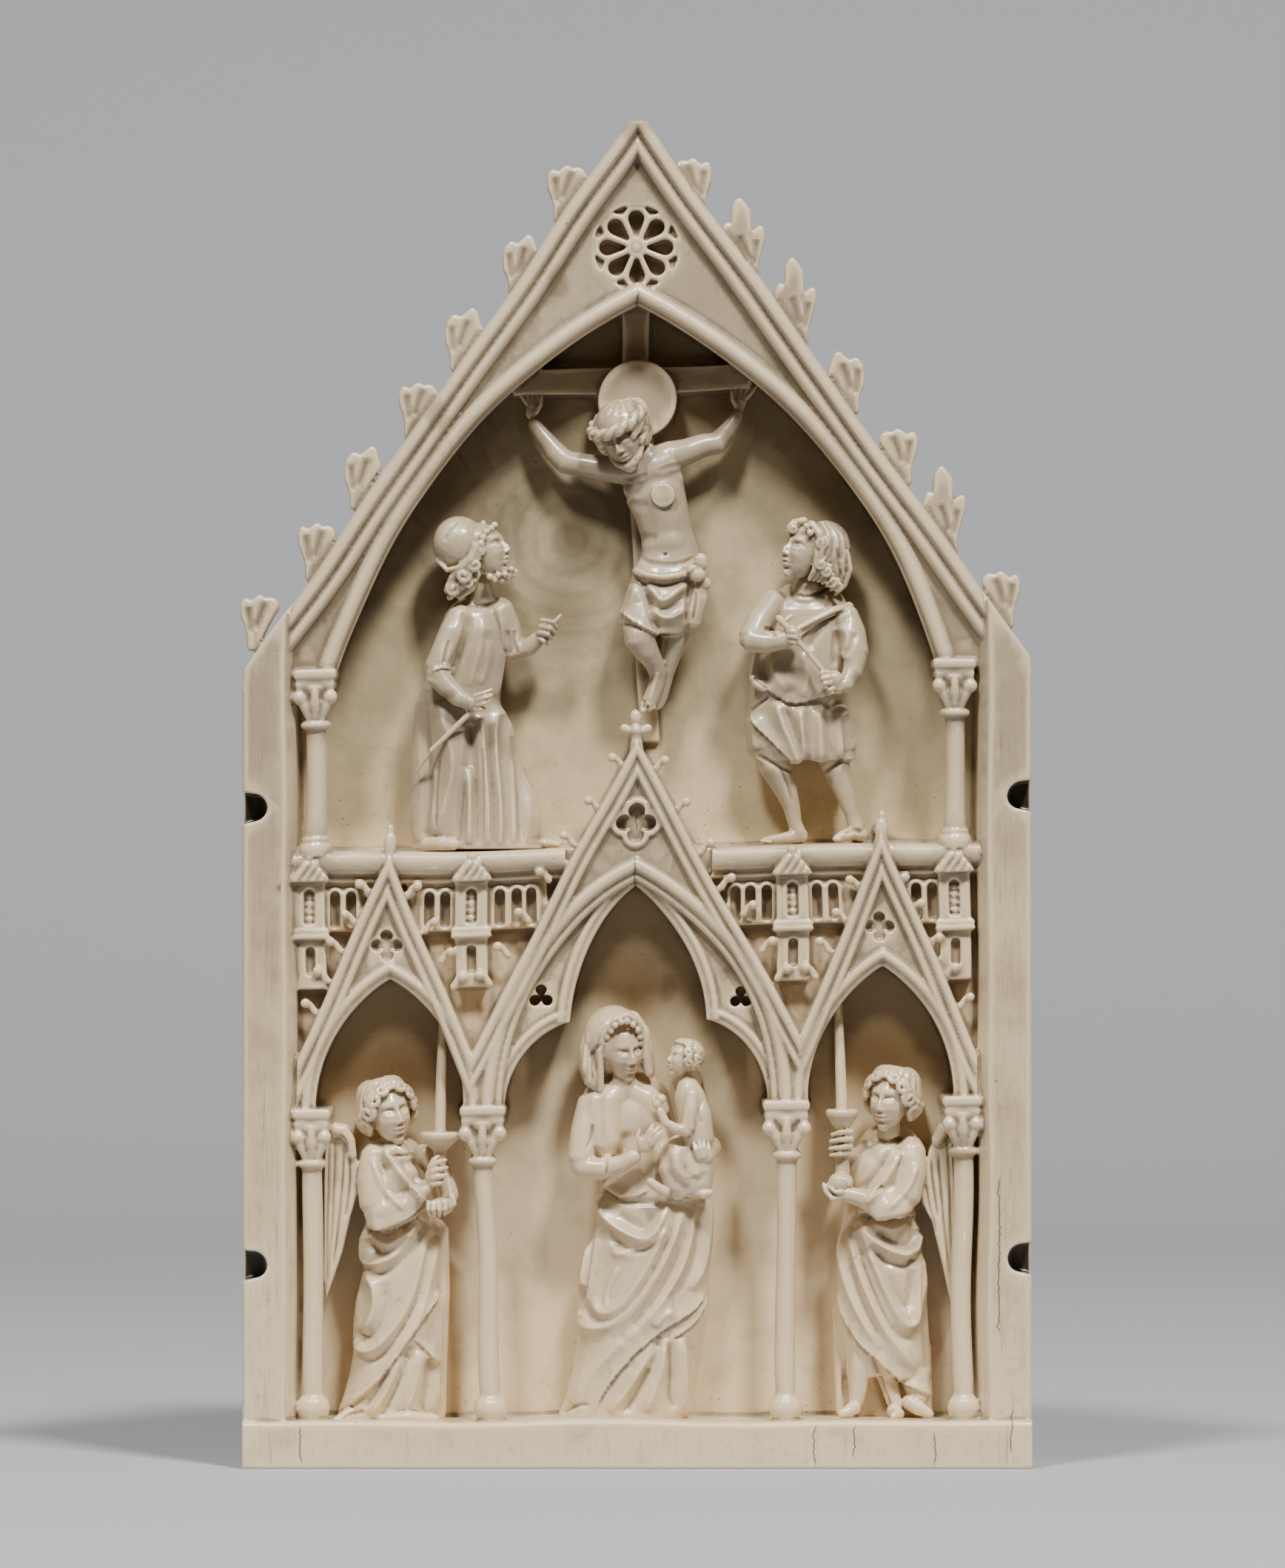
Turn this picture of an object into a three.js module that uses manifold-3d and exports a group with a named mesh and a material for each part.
import * as THREE from 'three';
import { mergeVertices } from 'three/addons/utils/BufferGeometryUtils.js';
import Module from 'manifold-3d';

// A gabled plaque of ivory, carved in deep relief from one block.
// Millimetres, +Z up, the front faces -Y, the origin is the middle of the underside.

// Overall size
const WIDTH = 118.6;
const HEIGHT = 202.6;
const DEPTH = 22;
const SHOULDER_Z = 120.6;
const TIP_FLAT = 2.4;

// Layers of the carving, as Y values from the back to the front
const BACK_Y = DEPTH / 2;
const FRONT_Y = -DEPTH / 2;
const GROUND_Y = 4.2;
const FRAME_Y = -10;
const SPANDREL_Y = -7.6;
const SCREEN_Y = -4.6;
const COLUMN_Y = -6.6;
const OVERLAP = 0.6;
const CUT_Y = FRAME_Y - 2;
const REAR_Y = BACK_Y - 1;

// Frame and ledges
const NICHE_HALF = 51.2;
const BASE_LEDGE_Z = 7.2;
const MID_LEDGE_Z = [88.6, 93];
const MID_LEDGE_GAP = 11.6;

// Great arch: two arcs about centres beyond the middle line
const ARCH_CENTRE_X = 41.3;
const ARCH_CENTRE_Z = 95;
const ARCH_RADIUS = 90.4;
const ARCH_SPRING_Z = 121.1;
const ARCH_MOULDING = 2.6;

// Lower arcade
const SPRING_Z = 54.8;
const SIDE_BAYS = [{ x: -37.2, half: 11.5, rise: 19.8 }, { x: 36.7, half: 11.4, rise: 20.6 }];
const MIDDLE_ORDER = { centreX: 18, centreZ: 54.4, radius: 40.5, back: -6.4 };
const MIDDLE_HEAD = { centreX: 17.2, centreZ: 66.1, radius: 27.8 };
const MIDDLE_LOBE = { centreX: -6.1, centreZ: 54.1, radius: 14.1 };
const CUSP_Z = 67.3;

// The hand of the carver: level lines climb slightly to the right above the base
const CLIMB = 0.017;
const CLIMB_FULL_Z = 50;

// Mouldings, by how far each stands in from the slope or steps back from the front
const GABLE_ROLLS = { outer: 1.8, gap: 2.7, inner: 4.3, front: FRAME_Y + 0.8 };
const GREAT_ORDER_Y = SPANDREL_Y + 2.2;
const SIDE_ORDER = { grow: 1.5, back: -5.6 };
const GABLE_RIM = { wide: 1.9, deep: 1.4 };

// Fineness of the small parts, and how much a merged face may stray
const BALL_SIDES = 6;
const BALL_RINGS = 4;
const FINE_BALL = [7, 5];
const LIMB_SIDES = 5;
const DISC_SIDES = 12;
const SLACK = 0.3;

const IVORY = new THREE.MeshStandardMaterial({ name: 'ivory', color: 0xcdbfa6, roughness: 0.42, metalness: 0 });

const wasm = await Module();
wasm.setup();

// A three.js geometry as a closed solid: vertices merged, collapsed triangles dropped
function toSolid(geometry) {
  const bare = new THREE.BufferGeometry();
  bare.setAttribute('position', geometry.getAttribute('position'));
  if (geometry.index) bare.setIndex(geometry.index);
  const merged = mergeVertices(bare, 1e-4);
  const corners = [];
  for (let i = 0; i < merged.index.count; i += 3) {
    const [a, b, c] = [0, 1, 2].map((k) => merged.index.getX(i + k));
    if (a !== b && b !== c && c !== a) corners.push(a, b, c);
  }
  const mesh = new wasm.Mesh({
    numProp: 3,
    vertProperties: new Float32Array(merged.getAttribute('position').array),
    triVerts: new Uint32Array(corners),
  });
  return new wasm.Manifold(mesh);
}

// The union of a list of solids
function join(solids) {
  return solids.reduce((whole, next) => whole.add(next));
}

// An outline in the front view, given thickness from its back to its front
function plate(points, back, front) {
  const shape = new THREE.Shape(points.map(([x, z]) => new THREE.Vector2(x, z)));
  const geometry = new THREE.ExtrudeGeometry(shape, { depth: back - front, bevelEnabled: false });
  geometry.rotateX(Math.PI / 2);
  geometry.translate(0, back, 0);
  return toSolid(geometry);
}

function box(x0, x1, y0, y1, z0, z1) {
  const geometry = new THREE.BoxGeometry(x1 - x0, y1 - y0, z1 - z0);
  geometry.translate((x0 + x1) / 2, (y0 + y1) / 2, (z0 + z1) / 2);
  return toSolid(geometry);
}

function ball(x, y, z, radius, stretch = [1, 1, 1], sides = BALL_SIDES, rings = BALL_RINGS) {
  const geometry = new THREE.SphereGeometry(radius, sides, rings);
  geometry.rotateX(Math.PI / 2);
  geometry.scale(...stretch);
  geometry.translate(x, y, z);
  return toSolid(geometry);
}

// A bead small enough to need only eight faces
function bead(x, y, z, radius, stretch = [1, 1, 1]) {
  const geometry = new THREE.OctahedronGeometry(radius, 0);
  geometry.scale(...stretch);
  geometry.translate(x, y, z);
  return toSolid(geometry);
}

// A turned shape about an upright or leaning axis, from [radius, z] pairs that start and end on it
function turned(profile, x, y, sides = 8, leanAt = () => 0) {
  const points = profile.map(([radius, z]) => new THREE.Vector2(radius, z));
  const geometry = new THREE.LatheGeometry(points, sides);
  geometry.rotateX(Math.PI / 2);
  const place = geometry.getAttribute('position');
  for (let i = 0; i < place.count; i += 1) {
    place.setXYZ(i, place.getX(i) + x + leanAt(place.getZ(i)), place.getY(i) + y, place.getZ(i));
  }
  return toSolid(geometry);
}

// A ring of sides drawn through as many stations as are given. The placing function turns a
// station's number and a point of the unit ring into a place.
function drawn(count, sides, placing) {
  const ring = Array.from({ length: sides }, (_, i) => {
    const angle = (2 * Math.PI * i) / sides;
    return new THREE.Vector2(Math.cos(angle), Math.sin(angle));
  });
  const settings = { depth: count - 1, steps: count - 1, bevelEnabled: false };
  const geometry = new THREE.ExtrudeGeometry(new THREE.Shape(ring), settings);
  const place = geometry.getAttribute('position');
  for (let i = 0; i < place.count; i += 1) {
    const spot = placing(Math.round(place.getZ(i)), place.getX(i), place.getY(i));
    place.setXYZ(i, ...spot);
  }
  return toSolid(geometry);
}

// A limb or rod along a line of [x, y, z, radius] stations, with rounded ends
function limb(stations, sides = LIMB_SIDES) {
  const places = stations.map(([x, y, z]) => new THREE.Vector3(x, y, z));
  const radii = stations.map((station) => station[3]);
  const last = places.length - 1;
  const past = (end, next, radius) => end.clone().add(end.clone().sub(next).setLength(radius * 0.7));
  places.push(past(places[last], places[last - 1], radii[last]));
  places.unshift(past(places[0], places[1], radii[0]));
  radii.push(radii[last] * 0.55);
  radii.unshift(radii[0] * 0.55);
  const depth = new THREE.Vector3(0, 1, 0);
  const frames = places.map((_, i) => {
    const before = places[Math.max(0, i - 1)];
    const after = places[Math.min(places.length - 1, i + 1)];
    const along = after.clone().sub(before).normalize();
    const across = depth.clone().cross(along).normalize();
    return { across, up: along.clone().cross(across) };
  });
  return drawn(places.length, sides, (i, a, b) => {
    const spot = places[i].clone();
    spot.addScaledVector(frames[i].across, a * radii[i]);
    spot.addScaledVector(frames[i].up, b * radii[i]);
    return spot.toArray();
  });
}

// Cloth hanging round a body: a fluted ring drawn through stations of
// { z, x, y, wide, deep, fold }, where fold is how far the flutes cut in
function robe(stations, flutes, sides) {
  return drawn(stations.length, sides, (i, a, b) => {
    const { z, x, y, wide, deep, fold } = stations[i];
    const cut = 1 - fold * (0.5 + 0.5 * Math.cos(flutes * Math.atan2(b, a)));
    return [x + wide * cut * a, y + deep * cut * b, z];
  });
}

// The corners of a round disc in the front view
function ring(x, z, radius, sides = DISC_SIDES) {
  return arc(x, z, radius, 0, (2 * Math.PI * (sides - 1)) / sides, sides - 1);
}

// A short round peg that stands out to the front
function peg(x, z, radius, back, front, sides = DISC_SIDES) {
  return plate(ring(x, z, radius, sides), back, front);
}

// Points along a circle, between two angles in radians
function arc(centreX, centreZ, radius, from, to, steps) {
  return Array.from({ length: steps + 1 }, (_, i) => {
    const angle = from + ((to - from) * i) / steps;
    return [centreX + radius * Math.cos(angle), centreZ + radius * Math.sin(angle)];
  });
}

// The left half of a pointed arch: from its foot up to its tip on the middle line
function halfArch(centreX, centreZ, radius, footZ, steps) {
  const foot = Math.PI - Math.asin((footZ - centreZ) / radius);
  const tip = Math.acos(-centreX / radius);
  return arc(centreX, centreZ, radius, foot, tip, steps);
}

// A left half from foot to tip, made whole by its mirror image and moved sideways
function wholeArch(leftHalf, x = 0) {
  const right = leftHalf.slice(0, -1).reverse().map(([px, pz]) => [-px, pz]);
  return [...leftHalf, ...right].map(([px, pz]) => [px + x, pz]);
}

function sideArch(bay, grow, steps = 8) {
  const half = bay.half + grow;
  const rise = bay.rise + grow;
  const centre = (rise * rise - half * half) / (2 * half);
  return wholeArch(halfArch(centre, SPRING_Z, half + centre, SPRING_Z, steps), bay.x);
}

// The cusped opening of the middle bay: a lobe up to the cusp, then a pointed head
function cuspedHalf() {
  const lobe = MIDDLE_LOBE;
  const foot = Math.PI;
  const top = Math.PI - Math.asin((CUSP_Z - lobe.centreZ) / lobe.radius);
  const low = arc(lobe.centreX, lobe.centreZ, lobe.radius, foot, top, 6);
  const head = halfArch(MIDDLE_HEAD.centreX, MIDDLE_HEAD.centreZ, MIDDLE_HEAD.radius, CUSP_Z, 6);
  return [...low, ...head];
}

// The slope of the big gable, as the half width at a height
const GABLE_SLOPE = (HEIGHT - SHOULDER_Z) / (WIDTH / 2 - TIP_FLAT / 2);
function gableHalf(z) {
  return TIP_FLAT / 2 + (HEIGHT - z) / GABLE_SLOPE;
}

// The outline of the block between two upright edges, its slopes drawn in by an even margin
function gabledOutline(margin, half, footZ) {
  const drop = margin * Math.hypot(1, GABLE_SLOPE);
  const shoulder = SHOULDER_Z + (WIDTH / 2 - half) * GABLE_SLOPE - drop;
  const tip = TIP_FLAT / 2;
  return [
    [-half, footZ], [half, footZ], [half, shoulder],
    [tip, HEIGHT - drop], [-tip, HEIGHT - drop], [-half, shoulder],
  ];
}

// The block with its sunk spandrels and the two rolls that follow the gable
function block() {
  const { outer, gap, inner, front } = GABLE_ROLLS;
  const foot = ARCH_SPRING_Z - 1;
  const strip = (margin) => NICHE_HALF - margin + outer;
  const body = plate(gabledOutline(0, WIDTH / 2, 0), BACK_Y, FRAME_Y);
  const sunk = plate(gabledOutline(outer, strip(outer), foot), SPANDREL_Y, FRAME_Y - 1);
  const roll = plate(gabledOutline(gap, strip(gap), foot), SPANDREL_Y + OVERLAP, front);
  const inside = plate(gabledOutline(inner, strip(inner), foot - 1), BACK_Y, FRAME_Y - 1);
  return body.subtract(sunk).add(roll.subtract(inside));
}

// The great niche: a moulded order in front and the deep recess behind it
function greatNiche() {
  const opening = wholeArch(halfArch(ARCH_CENTRE_X, ARCH_CENTRE_Z, ARCH_RADIUS, ARCH_SPRING_Z, 16));
  const order = wholeArch(
    halfArch(ARCH_CENTRE_X, ARCH_CENTRE_Z, ARCH_RADIUS + ARCH_MOULDING, ARCH_SPRING_Z, 16),
  );
  const recess = plate(opening, GROUND_Y, CUT_Y);
  const step = plate(order, GREAT_ORDER_Y, CUT_Y);
  const room = box(-NICHE_HALF, NICHE_HALF, CUT_Y, GROUND_Y, MID_LEDGE_Z[1], ARCH_SPRING_Z);
  return join([recess, step, room]);
}

// The lower recess: a room behind the columns with one arched head for each bay
function lowerNiche() {
  const room = box(-NICHE_HALF, NICHE_HALF, CUT_Y, GROUND_Y, BASE_LEDGE_Z, SPRING_Z);
  const heads = SIDE_BAYS.map((bay) => plate(sideArch(bay, 0), GROUND_Y, CUT_Y));
  const middle = plate(wholeArch(cuspedHalf()), GROUND_Y, CUT_Y);
  return join([room, ...heads, middle]);
}

// The screen over the arcade is sunk, and three gables stand out from it
function screenSink() {
  return box(-NICHE_HALF, NICHE_HALF, CUT_Y, SCREEN_Y, SPRING_Z, MID_LEDGE_Z[0]);
}

const GABLES = [
  { x: -37.3, tip: 91.7, left: [-51.2, 61.8], right: [-25, 62.5], front: -8.4, finial: 96.9 },
  { x: 36.9, tip: 93.2, left: [24.6, 64.6], right: [51.2, 60.4], front: -8.4, finial: 97.4 },
  { x: -0.2, tip: 108.7, left: [-25, 62.5], right: [24.6, 64.6], front: -9.2, finial: 113.6 },
];

// One gable of the arcade: a sunk triangle with a raised rim on both slopes
function gable({ x, tip, left, right, front }) {
  const foot = SPRING_Z;
  const rim = GABLE_RIM.wide;
  const outer = [[left[0], foot], [right[0], foot], right, [x, tip], left];
  const lean = (end) => Math.hypot(end[0] - x, tip - end[1]) / Math.abs(end[0] - x);
  const inner = [
    [left[0], foot - 1], [right[0], foot - 1],
    [right[0], right[1] - rim * lean(right)],
    [x, tip - rim * lean(right)],
    [left[0], left[1] - rim * lean(left)],
  ];
  const whole = plate(outer, REAR_Y, front);
  return whole.subtract(plate(inner, front + GABLE_RIM.deep, front - 1));
}

// Openings of the arcade cut again through the gables, with a moulded order
function arcadeCuts() {
  const cuts = [lowerNiche()];
  SIDE_BAYS.forEach((bay) => cuts.push(plate(sideArch(bay, SIDE_ORDER.grow), SIDE_ORDER.back, CUT_Y)));
  const { centreX, centreZ, radius, back } = MIDDLE_ORDER;
  const order = wholeArch(halfArch(centreX, centreZ, radius, SPRING_Z, 12));
  cuts.push(plate(order, back, CUT_Y));
  return join(cuts);
}

// A four-lobed opening with a raised rim. Lobes are shares of its size.
const FOIL = { lobe: 0.3, away: 0.27, rim: 0.7, proud: 0.6, deep: 2.4 };
function quatrefoil(x, z, size, front) {
  const lobe = size * FOIL.lobe;
  const away = size * FOIL.away;
  const places = [[away, 0], [-away, 0], [0, away], [0, -away]];
  const lobes = (radius, back, face) => {
    return join(places.map(([dx, dz]) => peg(x + dx, z + dz, radius, back, face)));
  };
  return {
    rim: lobes(lobe + FOIL.rim, front + FOIL.deep + OVERLAP, front + FOIL.proud),
    cut: lobes(lobe, front + FOIL.deep, front - 1),
  };
}

const QUATREFOILS = [
  { x: -37.5, z: 79.2, size: 4.8, front: -8.4 },
  { x: 36.3, z: 81, size: 4.4, front: -8.4 },
  { x: -0.1, z: 96.9, size: 6.3, front: -9.2 },
];

// Two trefoil piercings in the spandrels of the middle bay
const TREFOILS = { places: [[-14.6, 70.8], [15.6, 69.7]], lobe: 1, away: 1.1, back: 0, sides: 6 };
function trefoilCuts() {
  const { places, lobe, away, back, sides } = TREFOILS;
  const cuts = places.flatMap(([x, z]) => [90, 210, 330].map((degrees) => {
    const angle = THREE.MathUtils.degToRad(degrees);
    return peg(x + away * Math.cos(angle), z + away * Math.sin(angle), lobe, back, CUT_Y, sides);
  }));
  return join(cuts);
}

// Rose in the big gable: a sunk disc with eight petals cut round a hub. A petal's outline
// is given by places along its axis and half widths across it.
const ROSE = { x: -0.2, z: 183.5, radius: 6.2, petals: 8, dish: 1.4, deep: 3.4 };
const PETAL = [[1.5, 0.4], [3.4, 1.2], [4.9, 0.9], [5.1, 0]];
function roseCut() {
  const { x, z, radius, petals, dish, deep } = ROSE;
  const cuts = [peg(x, z, radius, SPANDREL_Y + dish, CUT_Y, 24)];
  const lower = PETAL.map(([along, half]) => [along, -half]);
  const upper = PETAL.slice(0, -1).reverse();
  for (let i = 0; i < petals; i += 1) {
    const angle = (i * 2 * Math.PI) / petals;
    const [cos, sin] = [Math.cos(angle), Math.sin(angle)];
    const placed = [...lower, ...upper].map(([along, side]) => {
      return [x + along * cos - side * sin, z + along * sin + side * cos];
    });
    cuts.push(plate(placed, SPANDREL_Y + deep, CUT_Y));
  }
  return join(cuts);
}

// Base ledge and the string courses between the two storeys: each course has a front and,
// measured from the lower edge of the ledge, a low and a high side
const COURSES = [
  { front: -8.2, low: 0, high: 1.2 },
  { front: -7.2, low: 1.1, high: 1.7 },
  { front: -9.4, low: 1.6, high: MID_LEDGE_Z[1] - MID_LEDGE_Z[0] },
];
const NICHE_FLOOR_Y = -4;
function ledges() {
  const [bottom, top] = MID_LEDGE_Z;
  const base = box(-WIDTH / 2, WIDTH / 2, FRONT_Y, BACK_Y, 0, BASE_LEDGE_Z);
  const runs = [[-NICHE_HALF - 1, -MID_LEDGE_GAP], [MID_LEDGE_GAP, NICHE_HALF + 1]];
  const courses = runs.flatMap(([from, to]) => {
    return COURSES.map(({ front, low, high }) => box(from, to, front, REAR_Y, bottom + low, bottom + high));
  });
  const floor = box(-MID_LEDGE_GAP - 1, MID_LEDGE_GAP + 1, NICHE_FLOOR_Y, REAR_Y, bottom, top);
  return join([base, ...courses, floor]);
}

// A column: ball base or block base, leaning shaft, neck ring, spreading capital, square abacus
const SHAFT = 1.5;
const CAPITAL = { high: 8, ring: 2.1, bell: 3, abacus: 3.4, slab: 2.2 };
function column({ x, foot, top, baseZ, ballBase = true }) {
  const lean = foot - x;
  const neck = top - CAPITAL.high;
  const base = ballBase
    ? [[0, baseZ - 0.4], [1.8, baseZ], [2.4, baseZ + 1.7], [1.6, baseZ + 3.4]]
    : [[0, baseZ - 0.4], [2.3, baseZ - 0.4], [2.3, baseZ + 2]];
  const profile = [
    ...base, [SHAFT, baseZ + 3.8], [SHAFT, neck - 0.4], [CAPITAL.ring, neck], [CAPITAL.ring, neck + 0.8],
    [SHAFT, neck + 1.2], [2.2, neck + 4], [CAPITAL.bell, top - 1.8], [0, top - 1.8],
  ];
  const leanAt = (z) => lean * Math.max(0, Math.min(1, (neck - z) / (neck - baseZ)));
  const solids = [turned(profile, x, COLUMN_Y, 6, leanAt)];
  [-1, 1].forEach((side) => solids.push(bead(x + side * 2.3, COLUMN_Y - 1.4, top - 3.4, 1.6)));
  solids.push(box(x - CAPITAL.abacus, x + CAPITAL.abacus, COLUMN_Y - 2.6, 0, top - CAPITAL.slab, top));
  solids.push(box(x + lean - 1, x + lean + 1, COLUMN_Y, GROUND_Y + 1, baseZ - 0.3, baseZ + 1.5));
  return join(solids);
}

const COLUMNS = [
  { x: -48.6, foot: -48.4, top: 54.9, baseZ: 7.2 },
  { x: -23.1, foot: -21.8, top: 54.8, baseZ: 7.2 },
  { x: 22.5, foot: 22.2, top: 54.9, baseZ: 7.2 },
  { x: 48.8, foot: 48.8, top: 54.9, baseZ: 7.2 },
  { x: -48.4, foot: -48.4, top: 120.7, baseZ: 93, ballBase: false },
  { x: 47.9, foot: 47.9, top: 120.7, baseZ: 93, ballBase: false },
];

// A small tower: storeys of { half width, low, high, step forward }, a hipped roof with a knob,
// and two openings of { half width, low, high, depth }
const TOWER_Y = -8;
const STOREYS = [
  { half: 2.1, low: 71.5, high: 80.6, step: 0 },
  { half: 2.8, low: 80.3, high: 81.7, step: 0.6 },
  { half: 2.3, low: 81.5, high: 89.4, step: 0 },
];
const TOWER_ROOF = { half: 4.2, high: 3.6, middleZ: 91, knobZ: 93.2, knob: 1.4, inset: 2.4 };
const TOWER_OPENINGS = [
  { half: 0.8, low: 83, high: 87.4, deep: 1.4 },
  { half: 0.6, low: 73, high: 78.6, deep: 1.2 },
];
function tower(x) {
  const ridgeY = TOWER_Y + TOWER_ROOF.inset;
  const roof = new THREE.CylinderGeometry(1, TOWER_ROOF.half, TOWER_ROOF.high, 4);
  roof.rotateY(Math.PI / 4);
  roof.rotateX(Math.PI / 2);
  roof.translate(x, ridgeY, TOWER_ROOF.middleZ);
  const storeys = STOREYS.map(({ half, low, high, step }) => {
    return box(x - half, x + half, TOWER_Y - step, REAR_Y, low, high);
  });
  const body = join([...storeys, toSolid(roof), bead(x, ridgeY, TOWER_ROOF.knobZ, TOWER_ROOF.knob)]);
  return TOWER_OPENINGS.reduce((rest, { half, low, high, deep }) => {
    return rest.subtract(box(x - half, x + half, TOWER_Y - 1, TOWER_Y + deep, low, high));
  }, body);
}

const TOWERS_X = [-48.6, -24.7, 23.4, 47.6];

// Beads along the slopes of the arcade gables
const BEAD_RADIUS = 1.8;
const BEAD_AWAY = 1.2;
function beadCrockets() {
  const counts = [6, 6, 7];
  return GABLES.flatMap(({ x, tip, left, right, front }, g) => {
    return [left, right].flatMap((end) => {
      const slope = new THREE.Vector2(end[0] - x, end[1] - tip);
      const side = Math.sign(slope.x);
      const out = new THREE.Vector2(-slope.y * side, slope.x * side).setLength(BEAD_AWAY);
      return Array.from({ length: counts[g] }, (_, i) => {
        const along = (i + 0.35) / (counts[g] + 0.3);
        const [px, pz] = [x + slope.x * along + out.x * side, tip + slope.y * along + Math.abs(out.y)];
        return bead(px, front + 1.6, pz, BEAD_RADIUS);
      });
    });
  });
}

// A finial of knobs on a short stem
const FINIAL = { stem: 0.9, knob: 1.8, arms: 1.9, armsBelow: 2.8, inset: 2.2 };
function finial({ x, tip, front, finial: top }) {
  const y = front + FINIAL.inset;
  return join([
    box(x - FINIAL.stem, x + FINIAL.stem, y - 0.4, REAR_Y, tip - 2, top - 1.4),
    bead(x, y, top - 1.3, FINIAL.knob),
    bead(x, y - 0.3, top - FINIAL.armsBelow, FINIAL.arms, [1.6, 1, 0.9]),
  ]);
}

// Leaves on the slopes of the big gable, in outlines that start at the foot on the slope.
// Most are snapped off, a few on the right are whole.
const CROCKETS = 7;
const CROCKET_Z = { first: 189, last: 124.6 };
const CROCKET_Y = { back: 0.5, front: -5.5 };
const WHOLE_LEAVES = [2, 3, 6];
const WHOLE_LEAF = [
  [0, 0], [0.3, 2.5], [1.3, 4.6], [0.6, 7], [0.9, 8.6], [-1, 9.4], [-1.6, 12.2], [-2.7, 12.9],
  [-3.4, 11.4], [-3.2, 9.5], [-4.8, 9.3], [-5.2, 6.6], [-3, -2],
];
const SNAPPED_LEAF = [
  [0.2, -0.4], [-0.2, 2.2], [0.9, 4.6], [0.5, 7.2], [-1.2, 6.3], [-3.4, 7.6], [-4.6, 6], [-5, 3], [-3, -2],
];
function gableCrocket(side, place) {
  const outline = side > 0 && WHOLE_LEAVES.includes(place) ? WHOLE_LEAF : SNAPPED_LEAF;
  const { first, last } = CROCKET_Z;
  const z = first - ((first - last) * (place - 1)) / (CROCKETS - 1);
  const x = gableHalf(z) - 0.3;
  const placed = outline.map(([out, up]) => [side * (x + out), z + up]);
  return plate(side > 0 ? placed : placed.reverse(), CROCKET_Y.back, CROCKET_Y.front);
}

// Recesses for the lost hinges, cut in from both side edges
const NOTCH = { wide: 3.9, deep: 5, half: 2.5, heights: [100, 31] };
function hingeNotches() {
  const { wide, deep, half, heights } = NOTCH;
  const cuts = heights.flatMap((z) => [-1, 1].map((side) => {
    const ends = [side * (WIDTH / 2 - wide), side * (WIDTH / 2 + 1)];
    return box(Math.min(...ends), Math.max(...ends), CUT_Y, FRAME_Y + deep, z - half, z + half);
  }));
  return join(cuts);
}

// The crucified man: cross, halo disc, sagging body, cloth about the hips
function crucified() {
  const y = -2.2;
  return join([
    box(-17.9, 16.6, 0.6, GROUND_Y + 1, 161.9, 165.6),
    box(-2.2, 1.8, 0.6, GROUND_Y + 1, 150, 172),
    box(0.6, 3.2, 0.4, GROUND_Y + 1, 93, 150),
    peg(0.1, 161, 5.9, GROUND_Y + 1, 1.4, 20),
    ball(-1.9, y - 0.6, 155.2, 4.2, [0.95, 0.95, 1.25], ...FINE_BALL),
    ball(-4.9, y + 0.4, 153.4, 2.4, [0.9, 1, 1.7]),
    limb([[-4.9, y, 150.4, 2], [-11.2, y, 151.3, 1.5], [-16.2, y + 0.6, 158.8, 1.1]]),
    limb([[-16.2, y + 0.6, 158.8, 1.2], [-16.5, 0.8, 162.5, 1.2]]),
    limb([[5.7, y, 152.4, 2], [12.3, y, 153.6, 1.5], [14.9, y + 0.6, 159.1, 1.1]]),
    limb([[14.9, y + 0.6, 159.1, 1.2], [15.2, 0.8, 162.5, 1.2]]),
    robe([
      { z: 134, x: 4.9, y, wide: 4, deep: 3.4, fold: 0 },
      { z: 139, x: 4.8, y, wide: 3.7, deep: 3, fold: 0 },
      { z: 144, x: 2.8, y, wide: 5, deep: 3.6, fold: 0 },
      { z: 149, x: 1.2, y, wide: 6, deep: 3.5, fold: 0 },
      { z: 153.5, x: 0.8, y, wide: 4.6, deep: 2.4, fold: 0 },
    ], 0, 9),
    peg(4, 146.4, 1.9, y - 2, y - 4.1),
    robe([
      { z: 125.4, x: 3.2, y: y - 0.6, wide: 6, deep: 3.6, fold: 0.14 },
      { z: 130, x: 3.9, y: y - 0.4, wide: 6.4, deep: 4.2, fold: 0.14 },
      { z: 137.4, x: 5, y, wide: 4.6, deep: 3.6, fold: 0.1 },
    ], 6, 18),
    ball(8.9, y - 2.2, 134.8, 1.9),
    limb([[1.6, y - 1, 130, 3], [-0.4, y - 2.4, 124.9, 2.3], [2.9, y - 0.6, 119.7, 1.5]]),
    limb([[2.9, y - 0.6, 119.7, 1.5], [1.7, y - 2, 114.9, 1.3]]),
    limb([[6, y + 0.6, 130, 2.8], [5.6, y, 123, 2], [3.3, y + 0.8, 118, 1.5], [3.4, 0.6, 115, 1.3]]),
  ]);
}

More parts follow.
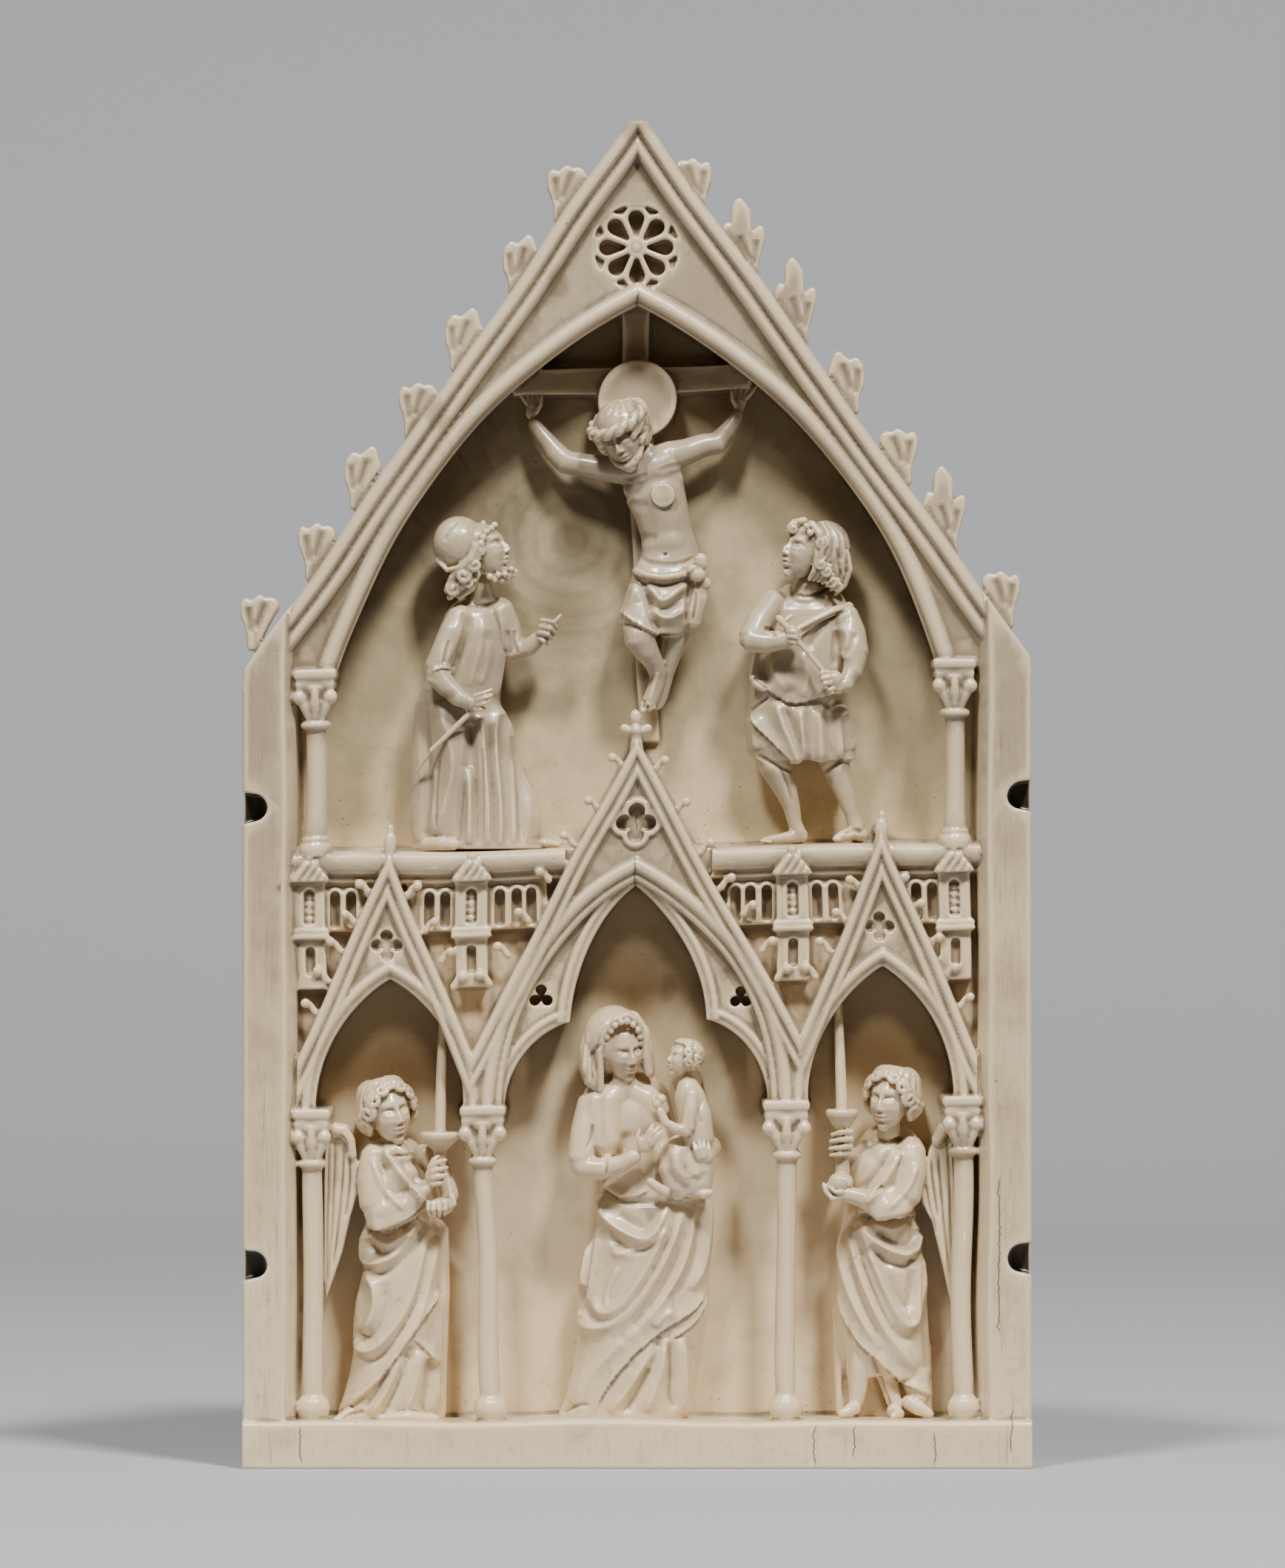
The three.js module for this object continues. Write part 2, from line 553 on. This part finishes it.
// The bearded man with the broken shaft, looking up to the right
function spearBearer() {
  const y = -1.6;
  return join([
    robe([
      { z: 93, x: -23.4, y, wide: 10.8, deep: 5.4, fold: 0.16 },
      { z: 99, x: -24, y, wide: 9.6, deep: 5, fold: 0.16 },
      { z: 106, x: -25.4, y, wide: 8.2, deep: 4.8, fold: 0.14 },
      { z: 114, x: -27, y, wide: 6.8, deep: 4.6, fold: 0.1 },
      { z: 122, x: -25.9, y, wide: 6.2, deep: 4.4, fold: 0.06 },
      { z: 128.4, x: -25.2, y, wide: 5.4, deep: 3.6, fold: 0 },
      { z: 131, x: -24.9, y, wide: 2.6, deep: 2.4, fold: 0 },
    ], 6, 18),
    limb([[-24.9, y, 129, 2.2], [-24.6, y - 0.4, 134.6, 2]]),
    ball(-24.4, y - 0.8, 137, 3.8, [0.95, 0.95, 1.15], ...FINE_BALL),
    ball(-26.6, y, 139.6, 4.2, [0.95, 1, 0.85], ...FINE_BALL),
    ball(-21.6, y - 0.8, 133.6, 1.9, [0.9, 0.9, 1.3]),
    limb([[-29, y - 1.4, 126.4, 2.6], [-31, y - 2.6, 119, 2.4], [-25, y - 4.6, 115, 1.5]]),
    limb([[-21.8, y - 1, 125.6, 2.6], [-18.6, y - 2.4, 122.4, 2], [-13.6, y - 1.8, 126.2, 1.5]]),
    limb([[-33.4, y - 4.4, 104.5, 0.9], [-21.2, y - 4.2, 117, 0.9]]),
    limb([[-25, y - 4.2, 115, 1.6], [-25.2, y - 1, 115.4, 1.6]]),
  ]);
}

// The youth in a belted tunic, a broken stick across the chest
function youth() {
  const y = -1.6;
  return join([
    robe([
      { z: 105, x: 24.9, y, wide: 8.2, deep: 4.8, fold: 0.16 },
      { z: 110, x: 25.1, y, wide: 7.6, deep: 4.6, fold: 0.14 },
      { z: 115.3, x: 25.6, y, wide: 6, deep: 4.2, fold: 0.06 },
      { z: 121, x: 26.2, y, wide: 6.6, deep: 4.4, fold: 0.04 },
      { z: 127.6, x: 26.9, y, wide: 5.8, deep: 3.6, fold: 0 },
      { z: 131.6, x: 27.3, y, wide: 2.5, deep: 2.4, fold: 0 },
    ], 6, 18),
    limb([[27.2, y, 129.6, 2.2], [27, y - 0.4, 135, 2]]),
    ball(26.4, y - 0.8, 137.6, 3.9, [0.9, 0.95, 1.15], ...FINE_BALL),
    ball(28.4, y, 137.6, 4.6, [0.95, 1, 1.15], ...FINE_BALL),
    limb([[22.4, y - 1, 127, 2.2], [16.9, y - 2.8, 123.8, 1.9], [23.2, y - 4, 125.6, 1.3]]),
    limb([[31.6, y - 1, 127, 2.2], [33.3, y - 2.4, 122.4, 2], [29, y - 4, 119, 1.3]]),
    limb([[21, y - 4, 128.2, 0.8], [28.2, y - 4, 119.4, 0.8]]),
    limb([[20.6, y, 107, 2.2], [22.6, y, 100, 1.9], [23.9, y, 94.2, 1.6], [18.6, y - 3, 94, 1.3]]),
    limb([[29.4, y, 107, 2.2], [31.4, y, 101, 1.9], [32.8, y, 94.2, 1.6], [30.6, y - 3.4, 93.8, 1.4]]),
  ]);
}

// The standing mother with the child on her arm
function motherAndChild() {
  const y = -2;
  return join([
    robe([
      { z: 7, x: -2.4, y, wide: 10, deep: 5.6, fold: 0.15 },
      { z: 13, x: -1.4, y, wide: 9.8, deep: 5.4, fold: 0.15 },
      { z: 22, x: 0.6, y, wide: 9.9, deep: 5.8, fold: 0.12 },
      { z: 32, x: 2, y, wide: 9.4, deep: 6.2, fold: 0.1 },
      { z: 41, x: 1.2, y, wide: 9, deep: 6, fold: 0.08 },
      { z: 49, x: -0.6, y, wide: 8.2, deep: 5, fold: 0.05 },
      { z: 54.6, x: -2.4, y, wide: 6.4, deep: 4, fold: 0 },
      { z: 58.4, x: -2.7, y, wide: 3, deep: 2.8, fold: 0 },
    ], 7, 21),
    ball(-2.6, y - 1, 62.4, 4.2, [0.9, 0.95, 1.2], ...FINE_BALL),
    ball(-3.4, y - 0.2, 63.6, 5.1, [1, 0.95, 1.28], ...FINE_BALL),
    limb([[-7, y - 1, 53.6, 2.6], [-7.9, y - 2.6, 45.6, 2.4], [1.6, y - 5.4, 48.6, 1.6]]),
    ball(7.4, y - 1.8, 61.7, 2.9, [1, 1, 1.1], ...FINE_BALL),
    limb([[7.8, y - 1.8, 57.4, 2.9], [8, y - 2, 50, 3.7], [7.2, y - 1.8, 44, 3]]),
    limb([[6, y - 3.4, 56, 1.6], [3.4, y - 5, 54.7, 1.2]]),
    limb([[7, y - 3, 46.4, 2], [2.9, y - 4.6, 42.6, 1.3]]),
    limb([[9.4, y - 2.8, 46, 2], [9.8, y - 3.6, 41, 1.4]]),
  ]);
}

// An angel with a candlestick; the right one is the mirror image with its own sizes
function angel({ side, x, wideFoot, headX, headZ, candleX, candleTop, panZ, wingTip }) {
  const y = -1.6;
  const out = (value) => side * value;
  const wing = [
    [x + out(2), headZ - 9], [x + out(7), headZ - 4.6], [x + out(8.6), headZ - 5],
    [x + out(10), headZ - 9], [x + out(10.4), headZ - 18], [wingTip[0], wingTip[1]], [x + out(4), headZ - 24],
  ];
  const outline = side < 0 ? wing.slice().reverse() : wing;
  return join([
    robe([
      { z: 7, x: x + out(0.2), y, wide: wideFoot, deep: 4.8, fold: 0.16 },
      { z: 14, x, y, wide: wideFoot * 0.96, deep: 4.7, fold: 0.16 },
      { z: 26, x: x - out(0.4), y, wide: 7.2, deep: 4.8, fold: 0.13 },
      { z: 36, x: x - out(0.2), y, wide: 6.6, deep: 4.8, fold: 0.1 },
      { z: 44, x: x + out(0.6), y, wide: 5.8, deep: 4.2, fold: 0.05 },
      { z: 48.4, x: headX + out(1), y, wide: 3.2, deep: 2.8, fold: 0 },
    ], 6, 18),
    limb([[headX + out(1), y, 46, 2.4], [headX, y - 0.4, headZ - 2, 2.2]]),
    ball(headX - out(0.6), y - 1, headZ, 3.9, [0.9, 0.95, 1.15], ...FINE_BALL),
    ball(headX + out(0.8), y - 0.2, headZ + 0.4, 4.7, [1, 0.95, 1.12], ...FINE_BALL),
    limb([[x + out(3.4), y - 1.4, 45.8, 2.4], [x + out(1.6), y - 3.6, 36.8, 2.5], [candleX, y - 5, 41.2, 1.5]]),
    limb([[x - out(3), y - 1.6, 46, 2.2], [candleX, y - 3.4, 45.4, 1.4]]),
    limb([[candleX, y - 3.2, 33, 0.8], [candleX, y - 2.4, candleTop, 0.6]]),
    turned([[0, panZ - 0.7], [1, panZ - 0.7], [3, panZ], [3, panZ + 0.7], [0, panZ + 0.7]], candleX, y - 3, 10),
    ball(candleX, y - 3.2, 33.6, 1.6),
    limb([[candleX, y - 3.2, 34, 1.2], [x, y, 34, 1.4]]),
    box(candleX - 0.5, candleX + 0.5, y - 2.4, GROUND_Y + 0.5, candleTop - 1.6, candleTop - 0.6),
    plate(outline, GROUND_Y + OVERLAP, -0.6),
  ]);
}

const ANGELS = [
  {
    side: -1, x: -37.4, wideFoot: 8.3, headX: -38, headZ: 54, candleX: -29.5, candleTop: 67.4, panZ: 49.6,
    wingTip: [-46.9, 25.4],
  },
  {
    side: 1, x: 37.2, wideFoot: 7.2, headX: 38.9, headZ: 56, candleX: 30.6, candleTop: 71.4, panZ: 52.6,
    wingTip: [46.6, 24],
  },
];

// Levels climb to the right, fading out towards the straight underside
function climb(x, z) {
  const share = Math.min(1, Math.max(0, z / CLIMB_FULL_Z));
  return z + CLIMB * x * share * share * (3 - 2 * share) * (z > HEIGHT - 1 ? 0 : 1);
}

function carvedGeometry(solid) {
  const mesh = solid.getMesh();
  const geometry = new THREE.BufferGeometry();
  const positions = new Float32Array(mesh.vertProperties);
  for (let i = 0; i < positions.length; i += 3) {
    positions[i + 2] = climb(positions[i], positions[i + 2]);
  }
  geometry.setAttribute('position', new THREE.BufferAttribute(positions, 3));
  geometry.setIndex(new THREE.BufferAttribute(new Uint32Array(mesh.triVerts), 1));
  geometry.computeVertexNormals();
  return geometry;
}

function plaque() {
  const foils = QUATREFOILS.map(({ x, z, size, front }) => quatrefoil(x, z, size, front));
  let body = block().subtract(greatNiche()).subtract(screenSink()).subtract(roseCut());
  body = join([body, ...GABLES.map(gable), ...foils.map(({ rim }) => rim)]);
  body = join([body.subtract(arcadeCuts()), ledges()]);
  foils.forEach(({ cut }) => { body = body.subtract(cut); });
  body = body.subtract(trefoilCuts()).subtract(hingeNotches());
  const trim = [...COLUMNS.map(column), ...TOWERS_X.map(tower), ...beadCrockets(), ...GABLES.map(finial)];
  for (let place = 1; place <= CROCKETS; place += 1) {
    trim.push(gableCrocket(-1, place), gableCrocket(1, place));
  }
  const figures = [crucified(), spearBearer(), youth(), motherAndChild(), ...ANGELS.map(angel)];
  const whole = join([body, ...trim, ...figures]).simplify(SLACK);
  const mesh = new THREE.Mesh(carvedGeometry(whole), IVORY);
  mesh.name = 'plaque';
  return mesh;
}

const group = new THREE.Group();
group.name = 'carved_plaque';
group.add(plaque());

export default group;
